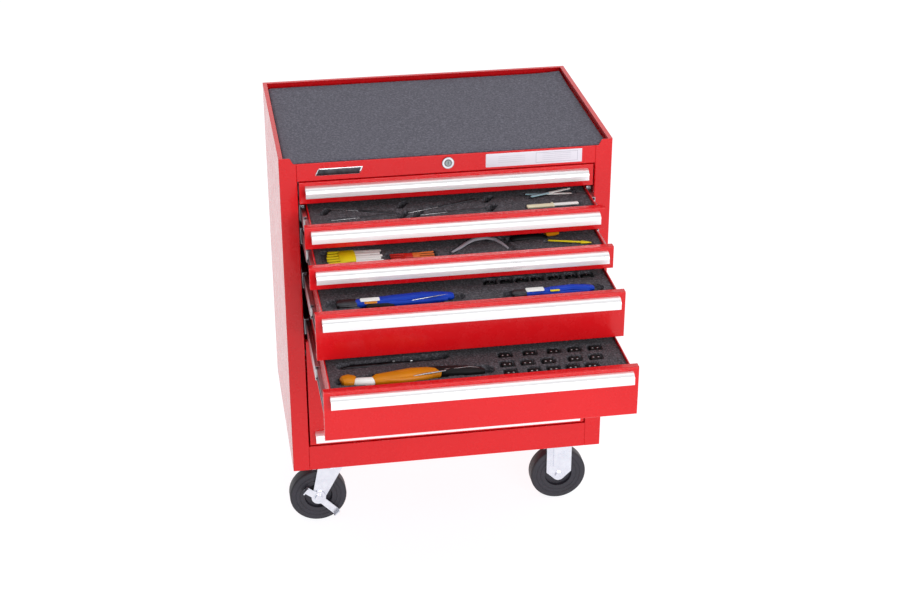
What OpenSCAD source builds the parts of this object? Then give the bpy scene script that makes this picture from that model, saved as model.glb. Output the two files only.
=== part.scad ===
// Rolling tool chest: a sheet-steel cabinet with five ball-slide drawers, a lift-up door that
// slides in over the bottom compartment, a lock with a rod and bar, and four casters.
// Millimetres, +X to the chest's right seen from the front, +Y to its back, +Z up.
// The origin is at floor level, at the centre of the footprint of the chest as it is drawn,
// with its drawers partly open.

/* [Cabinet] */
// Width of the cabinet over its side panels
cab_w = 686; // [600:1:900]
// Depth of the cabinet from its front face to its back
cab_d = 460; // [370:1:600]
// Height of the sheet-metal box, without the casters
box_h = 733; // [600:1:1000]
// Thickness of the sheet steel
sheet = 1.2; // [0.8:0.1:1.6]
// Width of the front stile on each side
stile_w = 36; // [32:1:50]
// Depth of the return behind each stile
stile_return = 20; // [10:1:21]
// Height of the top rail
top_rail_h = 37.5; // [34:0.5:60]
// How far the top rail's upper edge lies under the side panels' top
rail_drop = 13; // [8:0.5:16]
// Height of the bottom rail
bottom_rail_h = 58.6; // [40:0.1:100]
// Depth of the flange on each rail
rail_flange = 25; // [24.5:0.5:35]
// Width of the lip along the top of the sides and back
lip_w = 9; // [6:0.5:14]
// Depth of the recess for the top mat
pan_drop = 18.8; // [17.8:0.1:20.8]
// Thickness of the top mat
mat_t = 9.5; // [6:0.1:16]

/* [Drawers] */
// Gap around every drawer front and the door
front_gap = 3; // [2:0.5:5]
// Height of the three upper drawer fronts
small_front_h = 47.8; // [46:0.1:56]
// Height of the fourth drawer front
medium_front_h = 98.6; // [60:0.1:110]
// Height of the fifth drawer front
deep_front_h = 105; // [60:1:126]
// Depth of the folded drawer front
front_depth = 15; // [12:0.5:20]
// How far a front stands past its tray on each side
overhang = 13; // [12.9:0.1:16]
// How far a tray's rim lies under the top of its front
rim_drop = 3; // [1:0.5:6]
// How far a tray's floor lies over the bottom of its front
floor_rise = 4; // [2:0.5:5]
// Room behind a closed tray for the lock bar
back_room = 35; // [35:1:60]
// How far the foam lies under the tray's rim
foam_drop = 5; // [4.5:0.5:12]
// Opening of drawer 1 as drawn
open_1 = 0; // [0:1:330]
// Opening of drawer 2 as drawn
open_2 = 109; // [0:1:320]
// Opening of drawer 3 as drawn
open_3 = 188; // [0:1:320]
// Opening of drawer 4 as drawn
open_4 = 290; // [0:1:320]

/* [Slides] */
// Thickness of a ball slide, from cabinet to tray
slide_w = 12.7; // [12.7:0.1:14]
// Height of a ball slide's outer channel
slide_h = 35; // [30:0.5:36]
// Sheet thickness of the slide channels
slide_t = 1.2; // [1:0.1:1.4]
// Gap behind the drawer front before the slides start
slide_setback = 2; // [1:0.5:4]

/* [Pulls] */
// Height of a full-width pull
pull_h = 21.5; // [16:0.5:26]
// How far a pull stands out of the front
pull_out = 17; // [14:0.5:22]
// Radius of a pull's upper curve
pull_r = 12; // [8:0.5:13]
// Wall thickness of a pull
pull_t = 2; // [1.5:0.1:2.5]
// Distance from a front's edge to its pull
pull_edge = 8; // [5:0.5:12]
// Bare front at each end of a pull
pull_end = 12; // [6:0.5:30]

/* [Door] */
// Depth of the folded door panel
door_depth = 12; // [10:0.5:14]
// Distance from the door's top edge to its hinge pins
hinge_drop = 30; // [28:0.5:32]
// Distance from the door's face to its hinge pins
hinge_inset = 8; // [6:0.5:8]
// How far the opened door slides in
door_travel = 225; // [150:1:230]
// Distance from the door's bottom edge to its pull
door_pull_edge = 13.9; // [6:0.1:30]

/* [Lock] */
// Gap between the lock's barrel and the top pan over it
lock_room = 0.5; // [0.3:0.1:1.5]
// Radius of the lock's barrel
barrel_r = 9.5; // [8:0.1:10]
// Radius of the turning plug
plug_r = 6; // [5:0.1:7]
// How far the bar lifts when the key turns
lock_lift = 12; // [10:0.5:13]

/* [Casters] */
// Wheel diameter
wheel_d = 127; // [100:0.5:160]
// Width of a wheel's tread
wheel_w = 32; // [25:0.5:40]
// Distance from the cabinet's side to a caster's centre
caster_in_x = 84; // [70:1:110]
// Distance from the cabinet's front or back to a caster's centre
caster_in_y = 52; // [47:1:80]
// Distance from a swivel caster's pin to its axle
trail = 29.5; // [15:0.5:32]
// Width of a caster's top plate, across the chest
plate_x = 100; // [92:1:110]
// Length of a caster's top plate, front to back
plate_y = 90; // [86:1:94]
// Radius of an axle
axle_r = 6; // [5:0.5:8]

/* [Fits] */
// Radial clearance of a turning fit
run_fit = 0.05; // [0.02:0.01:0.1]
// Gap between faces that move past each other
face_gap = 0.3; // [0.2:0.05:0.6]

/* [Hidden] */
$fn = 72;

// heights of the casters' parts, from the floor up
plate_t = 3.5;
race_h = 5.5;
cup_h = 6.7;
crown_t = 3;
pin_head_t = 3;
wheel_clear = 6.7;
wheel_r = wheel_d / 2;
caster_h = wheel_d + wheel_clear + pin_head_t + face_gap + crown_t + cup_h + face_gap + race_h + plate_t;

// the cabinet's main planes
half_w = cab_w / 2;
total_h = caster_h + box_h;
rail_top = total_h - rail_drop;
opening_w = cab_w - 2 * stile_w;
opening_top = rail_top - top_rail_h;
opening_bottom = caster_h + bottom_rail_h;
inner_w = cab_w - 2 * sheet;
pan_top = total_h - pan_drop;
pan_flange = 14;
base_t = 1.5;
hem = 2 * sheet;
bend_r = 2.5;
pan_front = max(hem, bend_r);

// drawers: fronts are stacked from the top of the opening down
drawer_count = 5;
front_hs = [small_front_h, small_front_h, small_front_h, medium_front_h, deep_front_h];
front_w = opening_w - 2 * front_gap;
tray_w = front_w - 2 * overhang;
tray_len = cab_d - front_depth - back_room;
travel = tray_len;
opens = [open_1, open_2, open_3, open_4, travel];
function stack_above(n) = n == 0 ? 0 : stack_above(n - 1) + front_hs[n - 1] + front_gap;
function front_top(n) = opening_top - front_gap - stack_above(n);
function front_bottom(n) = front_top(n) - front_hs[n];
function tray_floor(n) = front_bottom(n) + floor_rise;
function tray_rim(n) = front_top(n) - rim_drop;

// slides: nested channels, each given by its web and flange places across the slide
slide_x = tray_w / 2;
slide_y = front_depth + slide_setback;
slide_len = tray_len;
slide_rise = (small_front_h - rim_drop - floor_rise) / 2;
function slide_z(n) = tray_floor(n) + slide_rise;
outer_reach = 8;
mid_h = slide_h - 2 * slide_t - 1.2;
mid_in = 1.8;
mid_back = slide_t + 1.4;
runner_h = mid_h - 2 * slide_t - 5;
runner_reach = 6.4;
post_y = 60;
post_w = 30;
post_flange = 12;
post_bottom = front_bottom(drawer_count - 1) + 1.5;
post_top = pan_top - pan_flange - 1;

// door and its carriage
door_top = front_bottom(drawer_count - 1) - front_gap;
door_bottom = opening_bottom + front_gap;
door_h = door_top - door_bottom;
hinge_z = door_top - hinge_drop;
hinge_pin_r = 3;
hinge_arm_t = 3;
hinge_arm_x = front_w / 2 - 8;
carriage_drop = 20;
carriage_z = hinge_z - carriage_drop;
carriage_y = hinge_inset + 35;
slider_l = 30;
slider_h = 12;
slider_w = 9;
track_x = opening_w / 2 - 2.2;
track_t = 1.5;
track_y = stile_return + 2;
track_len = carriage_y + slider_l + door_travel + 8 - track_y;
bracket_l = 20;

// lock
lock_z = pan_top - sheet - lock_room - barrel_r;
rod_r = 3;
crank_r = lock_lift;
crank_pin_r = 2;
crank_y = cab_d - 24;
crank_t = 3;
bar_y = crank_y + crank_t + 2;
bar_t = 2;
bar_w = 24;
bar_x = -5;
slot_play = 0.4;
slot_lost = 2.4;
finger_w = 16;
finger_up = 12;
finger_front = 11;
catch_drop = 12;
catch_reach = 12;
catch_w = 20;
finger_below = 26;
bar_low = tray_rim(drawer_count - 1) - 2 - finger_below - 20;
slot_z = lock_z - crank_r;
guide_l = 8;
guide_zs = [tray_rim(0) - 10, tray_rim(3) - 74];

// casters
fork_gap = wheel_w + 2.8;
hub_len = wheel_w + 2;
leg_t = 3;
leg_out = fork_gap / 2 + leg_t;
lever_t = 3;
lever_in = leg_out + face_gap;
axle_head_t = 4.5;
axle_nut_t = 5;
hub_r = 14;
leg_top_w = 57;
king_r = 6;
bolt_dx = 76;
bolt_dy = 66;
bolt_r = 4;
bolt_hole_r = 4.5;
bolt_head_t = 5;
axle_z = wheel_r;
crown_z = wheel_d + wheel_clear + pin_head_t + face_gap;
cup_top = crown_z + crown_t + cup_h;
plate_z = caster_h - plate_t;
caster_x = half_w - caster_in_x;

// the origin's place in the footprint of the chest as drawn
left_reach = max(half_w, caster_x + trail + wheel_r);
front_reach = max(opens) + pull_out;
shift_x = (left_reach - half_w) / 2;
shift_y = (front_reach - cab_d) / 2;

// ---- shared shapes ----

// moves the cabinet's own frame (x centred, y = 0 at its front face) to the origin
module chest() translate([shift_x, shift_y, 0]) children();

// a box from its lowest to its highest corner
module span(low, high) translate(low) cube(high - low);

module both_sides() {
    children();
    mirror([1, 0, 0]) children();
}

// a 2D shape in x and z, as a plate from y0 to y1
module plate_xz(y0, y1) translate([0, y1, 0]) rotate([90, 0, 0]) linear_extrude(y1 - y0) children();

// a 2D shape in y and z, drawn out along x
module bar_yz(x0, x1) translate([x0, 0, 0]) rotate([90, 0, 90]) linear_extrude(x1 - x0) children();

// a 2D shape in x and z, drawn out along y from y0 for a length
module rail_xz(y0, length) plate_xz(y0, y0 + length) children();

module rod_y(r, y0, y1, x, z) translate([x, y1, z]) rotate([90, 0, 0]) cylinder(r = r, h = y1 - y0);

module hex_y(r, y0, y1, x, z)
    translate([x, y1, z]) rotate([90, 0, 0]) cylinder(r = r, h = y1 - y0, $fn = 6);

module rod_x(r, x0, x1, y, z) translate([x0, y, z]) rotate([0, 90, 0]) cylinder(r = r, h = x1 - x0);

// where a line from p meets the circle at c on the side s: a hair inside the point of touch, so
// that the line crosses the circle
touch_in = 0.02;
function touch(p, c, r, s) =
    let (d = p - c, a = atan2(d[1], d[0]), b = acos(r / norm(d)))
    c + (r - touch_in) * [cos(a + s * b), sin(a + s * b)];

// a flat link from two top corners down to a round end
module taper(left, right, end, r) {
    polygon([left, right, touch(right, end, r, -1), end, touch(left, end, r, 1)]);
    translate(end) circle(r);
}

// ---- cabinet ----

// what is cut from a stile's top, in x and z: down to the rail, in an eased curve
module gusset_cut() {
    gusset_x = half_w - 21;
    gusset_w = 10;
    steps = 12;
    polygon(concat(
        [[opening_w / 2 - 1, rail_top], [opening_w / 2 - 1, total_h + 1], [gusset_x, total_h + 1]],
        [for (i = [0:steps])
            [gusset_x - gusset_w * i / steps, rail_top + rail_drop * (1 + cos(180 * i / steps)) / 2]]
    ));
}

// a quarter of a bend in sheet, about its centre and turned by a
module bend(centre, a) translate(centre) rotate(a) intersection() {
    difference() {
        circle(bend_r);
        circle(bend_r - sheet);
    }
    square(bend_r);
}

// the right side's sheet from above: wall, bend, stile and the bend into its return
module side_plan() {
    wall_bend = half_w - bend_r;
    return_bend = opening_w / 2 + bend_r;
    union() {
        translate([half_w - sheet, bend_r]) square([sheet, cab_d - bend_r]);
        bend([wall_bend, bend_r], -90);
        translate([return_bend, 0]) square([wall_bend - return_bend, sheet]);
        bend([return_bend, bend_r], 180);
    }
}

module side_panel() {
    lip_x = half_w - lip_w;
    lip_hem = 7;
    back_flange = 18;
    union() {
        difference() {
            translate([0, 0, caster_h]) linear_extrude(box_h) side_plan();
            plate_xz(-1, stile_return + 1) gusset_cut();
        }
        span([opening_w / 2, bend_r - 0.01, caster_h + base_t],
             [opening_w / 2 + sheet, stile_return, pan_top - sheet]);
        span([lip_x, sheet / 2, total_h - sheet], [half_w - sheet / 2, cab_d - sheet, total_h]);
        span([lip_x, sheet, total_h - lip_hem], [lip_x + sheet, cab_d - lip_w, total_h]);
        span([half_w - back_flange, cab_d - hem, caster_h + base_t],
             [half_w - sheet / 2, cab_d - sheet, pan_top - sheet]);
    }
}

module side_panel_left() color("red") chest() mirror([1, 0, 0]) side_panel();
module side_panel_right() color("red") chest() side_panel();

module back_panel() color("red") chest() {
    lip_x = half_w - lip_w;
    union() {
        span([-inner_w / 2, cab_d - sheet, caster_h], [inner_w / 2, cab_d, total_h]);
        span([-lip_x, cab_d - lip_w, total_h - sheet], [lip_x, cab_d, total_h]);
        for (z = guide_zs) bar_guide(z);
    }
}

// a loop on the back panel that the lock bar slides through
module bar_guide(z) {
    wall = 3;
    room = 0.5;
    difference() {
        span([bar_x - bar_w / 2 - wall - room, bar_y - wall, z],
             [bar_x + bar_w / 2 + wall + room, cab_d - sheet / 2, z + guide_l]);
        span([bar_x - bar_w / 2 - room, bar_y - room, z - 1],
             [bar_x + bar_w / 2 + room, bar_y + bar_t + room, z + guide_l + 1]);
        span([bar_x - bar_w / 2 + 4, bar_y + bar_t + wall, z - 1],
             [bar_x + bar_w / 2 - 4, cab_d - sheet, z + guide_l + 1]);
    }
}

module top_pan() color("red") chest() {
    union() {
        span([-inner_w / 2, pan_front, pan_top - sheet], [inner_w / 2, cab_d - sheet, pan_top]);
        for (side = [-1, 1])
            translate([side * (inner_w - sheet) / 2, 0, 0])
                span([-sheet / 2, stile_return + 4, pan_top - pan_flange],
                     [sheet / 2, cab_d - hem - 4, pan_top]);
    }
}

module base_pan() color("red") chest() {
    flange = 25;
    difference() {
        union() {
            span([-inner_w / 2, pan_front, caster_h], [inner_w / 2, cab_d - sheet, caster_h + base_t]);
            for (side = [-1, 1])
                translate([side * (inner_w - base_t) / 2, 0, 0])
                    span([-base_t / 2, stile_return + 4, caster_h],
                         [base_t / 2, cab_d - hem - 4, caster_h + flange]);
        }
        for (c = caster_places) at_bolts(c)
            translate([0, 0, caster_h - 1]) cylinder(r = bolt_hole_r, h = base_t + 2);
    }
}

module top_rail() color("red") chest() {
    lip = 8;
    difference() {
        union() {
            span([-opening_w / 2, 0, opening_top], [opening_w / 2, sheet, rail_top - sheet]);
            bar_yz(-opening_w / 2, opening_w / 2) {
                translate([0, rail_top - lip]) square([hem, lip - sheet]);
                translate([sheet, rail_top - sheet]) circle(sheet);
            }
            span([-opening_w / 2, 0, opening_top], [opening_w / 2, rail_flange, opening_top + sheet]);
            span([-opening_w / 2, rail_flange - sheet, opening_top],
                 [opening_w / 2, rail_flange, opening_top + lip]);
        }
        rod_y(barrel_r + face_gap, -1, hem + 1, 0, lock_z);
    }
}

module bottom_rail() color("red") chest() {
    lip = 15;
    union() {
        span([-opening_w / 2, 0, caster_h], [opening_w / 2, sheet, opening_bottom]);
        span([-opening_w / 2, 0, opening_bottom - sheet], [opening_w / 2, rail_flange, opening_bottom]);
        span([-opening_w / 2, rail_flange - sheet, opening_bottom - lip],
             [opening_w / 2, rail_flange, opening_bottom]);
    }
}

// the outline of an upright's hat section, seen from above, with its web at x = web
module hat(web, wall) {
    w = post_w / 2;
    union() {
        translate([web, -w]) square([sheet, post_w]);
        for (side = [-1, 1]) {
            translate([web, side * (w - sheet / 2) - sheet / 2]) square([wall - web, sheet]);
            translate([wall - sheet, side > 0 ? w - sheet : -w - post_flange + sheet])
                square([sheet, post_flange]);
        }
    }
}

module slide_posts() color("lightgrey") chest()
    both_sides()
        for (y = [post_y, cab_d - post_y])
            translate([0, y, post_bottom])
                linear_extrude(post_top - post_bottom) hat(slide_x + slide_w, inner_w / 2);

module top_mat() color("dimgrey") chest() {
    room = 1;
    x = half_w - lip_w - room;
    corner = 4;
    translate([0, 0, pan_top]) linear_extrude(mat_t) union() {
        translate([-x, hem + room + corner]) square([2 * x, cab_d - lip_w - hem - 2 * room - corner]);
        translate([-x + corner, hem + room]) square([2 * (x - corner), corner]);
        for (side = [-1, 1]) translate([side * (x - corner), hem + room + corner]) circle(corner);
    }
}

// ---- slides ----

// an open channel across the slide: web from web to web + t, flanges reaching in to tip
module channel(web, tip, h) {
    low = min(web, tip);
    high = max(web + slide_t, tip);
    union() {
        translate([web, -h / 2]) square([slide_t, h]);
        for (z = [-h / 2, h / 2 - slide_t]) translate([low, z]) square([high - low, slide_t]);
    }
}

module slide_channels() color("silver") chest() {
    web = slide_x + slide_w - slide_t;
    both_sides()
        for (n = [0:drawer_count - 1])
            translate([0, 0, slide_z(n)]) rail_xz(slide_y, slide_len) channel(web, web - outer_reach, slide_h);
}

module mid_slides(n) color("silver") chest() {
    web = slide_x + slide_w - slide_t - mid_back;
    both_sides()
        translate([0, -opens[n] / 2, slide_z(n)])
            rail_xz(slide_y, slide_len - 2) channel(web, slide_x + mid_in + face_gap, mid_h);
}

module runners(n) color("silver") chest()
    both_sides()
        translate([0, -opens[n], slide_z(n)])
            rail_xz(slide_y, slide_len - 5) channel(slide_x, slide_x + slide_t + runner_reach, runner_h);

// ---- drawers ----

module tray(n) color("red") chest() translate([0, -opens[n], 0]) {
    low = [-tray_w / 2, front_depth, tray_floor(n)];
    high = [tray_w / 2, front_depth + tray_len, tray_rim(n)];
    hem_h = 8;
    wall = [sheet, sheet, sheet];
    union() {
        difference() {
            span(low, high);
            span(low + wall, [high[0] - sheet, high[1] - sheet, high[2] - hem_h]);
            span([low[0] + hem, low[1] + hem, high[2] - hem_h - 1],
                 [high[0] - hem, high[1] - hem, high[2] + 1]);
        }
        lock_catch(high[1], high[2] - 2);
    }
}

// the hooked tab on a tray's back that the lock bar's finger holds
module lock_catch(y, z) {
    span([bar_x - catch_w / 2, y - sheet, z - sheet], [bar_x + catch_w / 2, y + catch_reach, z]);
    span([bar_x - catch_w / 2, y + catch_reach - sheet, z - catch_drop],
         [bar_x + catch_w / 2, y + catch_reach, z]);
}

// the folded front's section in y and z, with its two bends
module folded(depth, h, r) {
    union() {
        translate([r, 0]) square([depth - r, h]);
        translate([0, r]) square([r + 1, h - 2 * r]);
        for (z = [r, h - r]) translate([r, z]) circle(r);
    }
}

// a front or door panel: a sheet folded back on all four edges and open behind
module pan(depth, z0, z1) {
    difference() {
        translate([0, 0, z0]) bar_yz(-front_w / 2, front_w / 2) folded(depth, z1 - z0, bend_r);
        translate([0, sheet, z0 + sheet])
            bar_yz(-front_w / 2 + sheet, front_w / 2 - sheet)
                folded(depth, z1 - z0 - 2 * sheet, bend_r - sheet);
    }
}

module front(n) color("red") chest()
    translate([0, -opens[n], 0]) pan(front_depth, front_bottom(n), front_top(n));

// the pull's section in y and z: a foot on the face, a curve outward and a straight lip down
module pull_section() {
    foot_t = 1.5;
    foot_h = 12;
    flat = pull_out - pull_r;
    union() {
        translate([-pull_out, -pull_h]) square([pull_t, pull_h - pull_r]);
        intersection() {
            translate([-flat, -pull_r]) difference() {
                circle(pull_r);
                circle(pull_r - pull_t);
            }
            translate([-pull_out, -pull_r]) square([pull_r, pull_r]);
        }
        translate([-flat, -pull_t]) square([flat, pull_t]);
        translate([-foot_t, -foot_h]) square([foot_t, foot_h]);
    }
}

module pull_bar(z) translate([0, 0, z]) bar_yz(-front_w / 2 + pull_end, front_w / 2 - pull_end) pull_section();

module pull(n) color("gainsboro") chest() translate([0, -opens[n], 0]) pull_bar(front_top(n) - pull_edge);

module foam(n) color("dimgrey") chest() translate([0, -opens[n], 0]) {
    room = face_gap;
    x = tray_w / 2 - hem - room;
    span([-x, front_depth + hem + room, tray_floor(n) + sheet],
         [x, front_depth + tray_len - hem - room, tray_rim(n) - foam_drop]);
}

module drawer_1_tray() tray(0);
module drawer_2_tray() tray(1);
module drawer_3_tray() tray(2);
module drawer_4_tray() tray(3);
module drawer_5_tray() tray(4);
module drawer_1_front() front(0);
module drawer_2_front() front(1);
module drawer_3_front() front(2);
module drawer_4_front() front(3);
module drawer_5_front() front(4);
module drawer_1_pull() pull(0);
module drawer_2_pull() pull(1);
module drawer_3_pull() pull(2);
module drawer_4_pull() pull(3);
module drawer_5_pull() pull(4);
module drawer_1_foam() foam(0);
module drawer_2_foam() foam(1);
module drawer_3_foam() foam(2);
module drawer_4_foam() foam(3);
module drawer_5_foam() foam(4);
module drawer_1_runners() runners(0);
module drawer_2_runners() runners(1);
module drawer_3_runners() runners(2);
module drawer_4_runners() runners(3);
module drawer_5_runners() runners(4);
module drawer_1_mid_slides() mid_slides(0);
module drawer_2_mid_slides() mid_slides(1);
module drawer_3_mid_slides() mid_slides(2);
module drawer_4_mid_slides() mid_slides(3);
module drawer_5_mid_slides() mid_slides(4);

// ---- door over the bottom compartment ----

module door_panel() color("red") chest()
    difference() {
        pan(door_depth, door_bottom, door_top);
        rod_x(hinge_pin_r + run_fit, -front_w, front_w, hinge_inset, hinge_z);
    }

module door_pull() color("gainsboro") chest() pull_bar(door_bottom + door_pull_edge + pull_h);

// one side of the carriage: hinge pin, cranked arm and the block that runs in the track
module carriage_side() {
    arm_r = 4.5;
    tail = [carriage_y, carriage_z];
    slider_x = track_x + track_t + face_gap;
    union() {
        rod_x(hinge_pin_r, hinge_arm_x - 1, front_w / 2, hinge_inset, hinge_z);
        bar_yz(hinge_arm_x - hinge_arm_t, hinge_arm_x) union() {
            arm_dir = [-carriage_drop, hinge_inset - carriage_y] / norm([carriage_y - hinge_inset, carriage_drop]);
            side = arm_r * [arm_dir[0], -arm_dir[1]];
            polygon([[hinge_inset, hinge_z] - side, tail - side, tail + side, [hinge_inset, hinge_z] + side]);
            translate([hinge_inset, hinge_z]) circle(arm_r);
            translate(tail) circle(arm_r);
            translate([carriage_y, carriage_z - arm_r]) square([slider_l, 2 * arm_r]);
        }
        span([hinge_arm_x - 1, carriage_y + 4, carriage_z - arm_r],
             [slider_x + 1, carriage_y + slider_l, carriage_z + arm_r]);
        span([slider_x, carriage_y, carriage_z - slider_h / 2],
             [slider_x + slider_w, carriage_y + slider_l, carriage_z + slider_h / 2]);
    }
}

module door_carriage() color("silver") chest() union() {
    both_sides() carriage_side();
    rod_x(4, -hinge_arm_x + 1, hinge_arm_x - 1, carriage_y + slider_l / 2, carriage_z);
}

// the tracks on the cabinet's sides, each a lipped channel with two brackets
module door_tracks() color("silver") chest() both_sides() {
    room = slider_h / 2 + face_gap;
    web_x = track_x + track_t + 2 * face_gap + slider_w;
    lip_gap = 5.5;
    union() {
        difference() {
            span([track_x, track_y, carriage_z - room - track_t],
                 [web_x + track_t, track_y + track_len, carriage_z + room + track_t]);
            span([track_x + track_t, track_y - 1, carriage_z - room],
                 [web_x, track_y + track_len - track_t, carriage_z + room]);
            span([track_x - 1, track_y - 1, carriage_z - lip_gap],
                 [track_x + track_t + 1, track_y + track_len - track_t, carriage_z + lip_gap]);
        }
        for (y = [track_y + bracket_l, track_y + track_len - 2 * bracket_l])
            span([web_x + track_t / 2, y, carriage_z - room], [inner_w / 2, y + bracket_l, carriage_z + room]);
    }
}

// ---- lock ----

module lock_housing() color("silver") chest() {
    bore = plug_r + run_fit;
    flange_r = barrel_r + 3;
    clip_w = 4;
    clip_t = 1.5;
    clip_x = barrel_r + clip_w;
    difference() {
        union() {
            rod_y(flange_r, -2.5, 0, 0, lock_z);
            rod_y(barrel_r, -1, rail_flange - 1, 0, lock_z);
        }
        rod_y(bore, -4, rail_flange, 0, lock_z);
    }
    difference() {
        span([-clip_x, sheet, lock_z - clip_x], [clip_x, sheet + clip_t, lock_z + clip_w]);
        rod_y(barrel_r, 0, sheet + clip_t + 1, 0, lock_z);
        span([-barrel_r, 0, lock_z], [barrel_r, sheet + clip_t + 1, lock_z + clip_w + 1]);
    }
}

// the plug with its key slot, and the rod that carries its turn to the back
module lock_plug() color("silver") chest() union() {
    key_w = 1.6;
    key_h = 7.5;
    difference() {
        rod_y(plug_r, -3.2, rail_flange, 0, lock_z);
        span([-key_w / 2, -4, lock_z - key_h / 2], [key_w / 2, 4, lock_z + key_h / 2]);
    }
    rod_y(rod_r, rail_flange - 1, crank_y + crank_t, 0, lock_z);
    plate_xz(crank_y, crank_y + crank_t) union() {
        translate([0, lock_z]) circle(rod_r + 1.5);
        translate([0, lock_z - crank_r]) circle(crank_pin_r + 1);
        translate([-crank_pin_r - 0.5, lock_z - crank_r]) square([2 * crank_pin_r + 1, crank_r]);
    }
    rod_y(crank_pin_r, crank_y + crank_t - 1, bar_y + bar_t + 2, 0, lock_z - crank_r);
}

module lock_bar() color("silver") chest() {
    slot_r = crank_pin_r + slot_play;
    slot_low = slot_z - slot_lost - slot_r;
    slot_high = slot_z + slot_r;
    union() {
        difference() {
            span([bar_x - bar_w / 2, bar_y, bar_low], [bar_x + bar_w / 2, bar_y + bar_t, slot_high + 3]);
            span([-crank_r - slot_r, bar_y - 1, slot_low], [slot_r, bar_y + bar_t + 1, slot_high]);
        }
        for (n = [0:drawer_count - 1]) finger(tray_rim(n) - 2 - finger_below);
    }
}

module finger(z) {
    x0 = bar_x - finger_w / 2;
    x1 = bar_x + finger_w / 2;
    span([x0, bar_y - finger_front, z], [x1, bar_y + bar_t / 2, z + sheet]);
    span([x0, bar_y - finger_front, z], [x1, bar_y - finger_front + sheet, z + finger_up]);
}

// ---- casters ----

caster_places = [
    [-caster_x, caster_in_y], [-caster_x, cab_d - caster_in_y],
    [caster_x, caster_in_y], [caster_x, cab_d - caster_in_y]
];

// which way a caster's brake side faces: forward at the front, backward at the back
function out_y(c) = c[1] < cab_d / 2 ? -1 : 1;

module at_bolts(c)
    for (dx = [-bolt_dx / 2, bolt_dx / 2], dy = [-bolt_dy / 2, bolt_dy / 2])
        translate([c[0] + dx, c[1] + dy, 0]) children();

// moves a caster's own frame (origin under its centre, brake side to -y) to its place
module at_caster(c) translate([c[0], c[1], 0]) scale([1, -out_y(c), 1]) children();

// the rear left caster has swivelled half a turn, so its wheel trails inward
module turned() mirror([1, 0, 0]) children();

module caster_plate() {
    difference() {
        span([-plate_x / 2, -plate_y / 2, plate_z], [plate_x / 2, plate_y / 2, caster_h]);
        for (dx = [-bolt_dx / 2, bolt_dx / 2], dy = [-bolt_dy / 2, bolt_dy / 2])
            translate([dx, dy, plate_z - 1]) cylinder(r = bolt_hole_r, h = plate_t + 2);
    }
}

module swivel_plate() union() {
    race_r = 25;
    caster_plate();
    translate([0, 0, plate_z - race_h]) cylinder(r = race_r, h = race_h + 1);
    translate([0, 0, crown_z - face_gap - pin_head_t]) {
        cylinder(r = king_r, h = plate_z - crown_z + pin_head_t);
        cylinder(r = king_r + 4, h = pin_head_t);
    }
}

module swivel_plates() color("silver") chest() {
    at_caster(caster_places[0]) swivel_plate();
    at_caster(caster_places[1]) swivel_plate();
}

// one leg of a fork, tapering down to the axle
module leg(y, top, top_w, axle_x) plate_xz(y, y + leg_t) difference() {
    taper([-top_w / 2, top], [top_w / 2, top], [axle_x, axle_z], hub_r);
    translate([axle_x, axle_z]) circle(axle_r + run_fit);
}

module swivel_fork() difference() {
    cup_r = 28;
    rim_r = 30;
    union() {
        for (y = [-leg_out, leg_out - leg_t]) leg(y, crown_z + crown_t, leg_top_w, -trail);
        span([-leg_top_w / 2, -leg_out, crown_z], [leg_top_w / 2, leg_out, crown_z + crown_t]);
        translate([0, 0, crown_z + crown_t]) cylinder(r1 = rim_r, r2 = cup_r, h = cup_h);
    }
    translate([0, 0, crown_z - 1]) cylinder(r = king_r + run_fit, h = crown_t + cup_h + 2);
}

module axle(x, far) {
    rod_y(axle_r, -lever_in - lever_t - face_gap, leg_out + 1, x, axle_z);
    hex_y(axle_r + 3, -lever_in - lever_t - face_gap - axle_head_t, -lever_in - lever_t - face_gap, x, axle_z);
    hex_y(axle_r + 3, far, far + axle_nut_t, x, axle_z);
}

// the side lever that locks a wheel: a disc on the axle with a thumb arm and a toe arm
module brake_lever() {
    disc_r = 16;
    thumb = [-30, 23.5];
    toe = [40, -42];
    arm_r = 8;
    y0 = -lever_in - lever_t;
    fold = 9;
    difference() {
        union() {
            plate_xz(y0, y0 + lever_t) translate([-trail, axle_z]) union() {
                circle(disc_r);
                for (end = [thumb, toe]) {
                    dir = end / norm(end);
                    side = arm_r * [-dir[1], dir[0]];
                    polygon([-side, end - side, end + side, side]);
                }
            }
            for (end = [thumb, toe]) translate([-trail + end[0], 0, axle_z + end[1]])
                rotate([0, -atan2(end[1], end[0]), 0])
                    span([-lever_t, y0 - fold, -arm_r], [0, y0 + lever_t, arm_r]);
        }
        rod_y(axle_r + run_fit, y0 - 1, 0, -trail, axle_z);
    }
}

module wheel(x) translate([x, 0, axle_z]) rotate([90, 0, 0]) {
    web = wheel_w - 14;
    hub = 16;
    rim = wheel_r - 33;
    shoulder = 4;
    half = [
        [axle_r + run_fit, hub_len / 2], [hub, hub_len / 2], [hub + 1, web / 2], [rim - 2, web / 2],
        [rim, wheel_w / 2 - 1], [wheel_r - shoulder, wheel_w / 2], [wheel_r, wheel_w / 2 - shoulder]
    ];
    steps = len(half);
    rotate_extrude($fn = 96)
        polygon(concat(half, [for (i = [1:steps]) [half[steps - i][0], -half[steps - i][1]]]));
}

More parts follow.
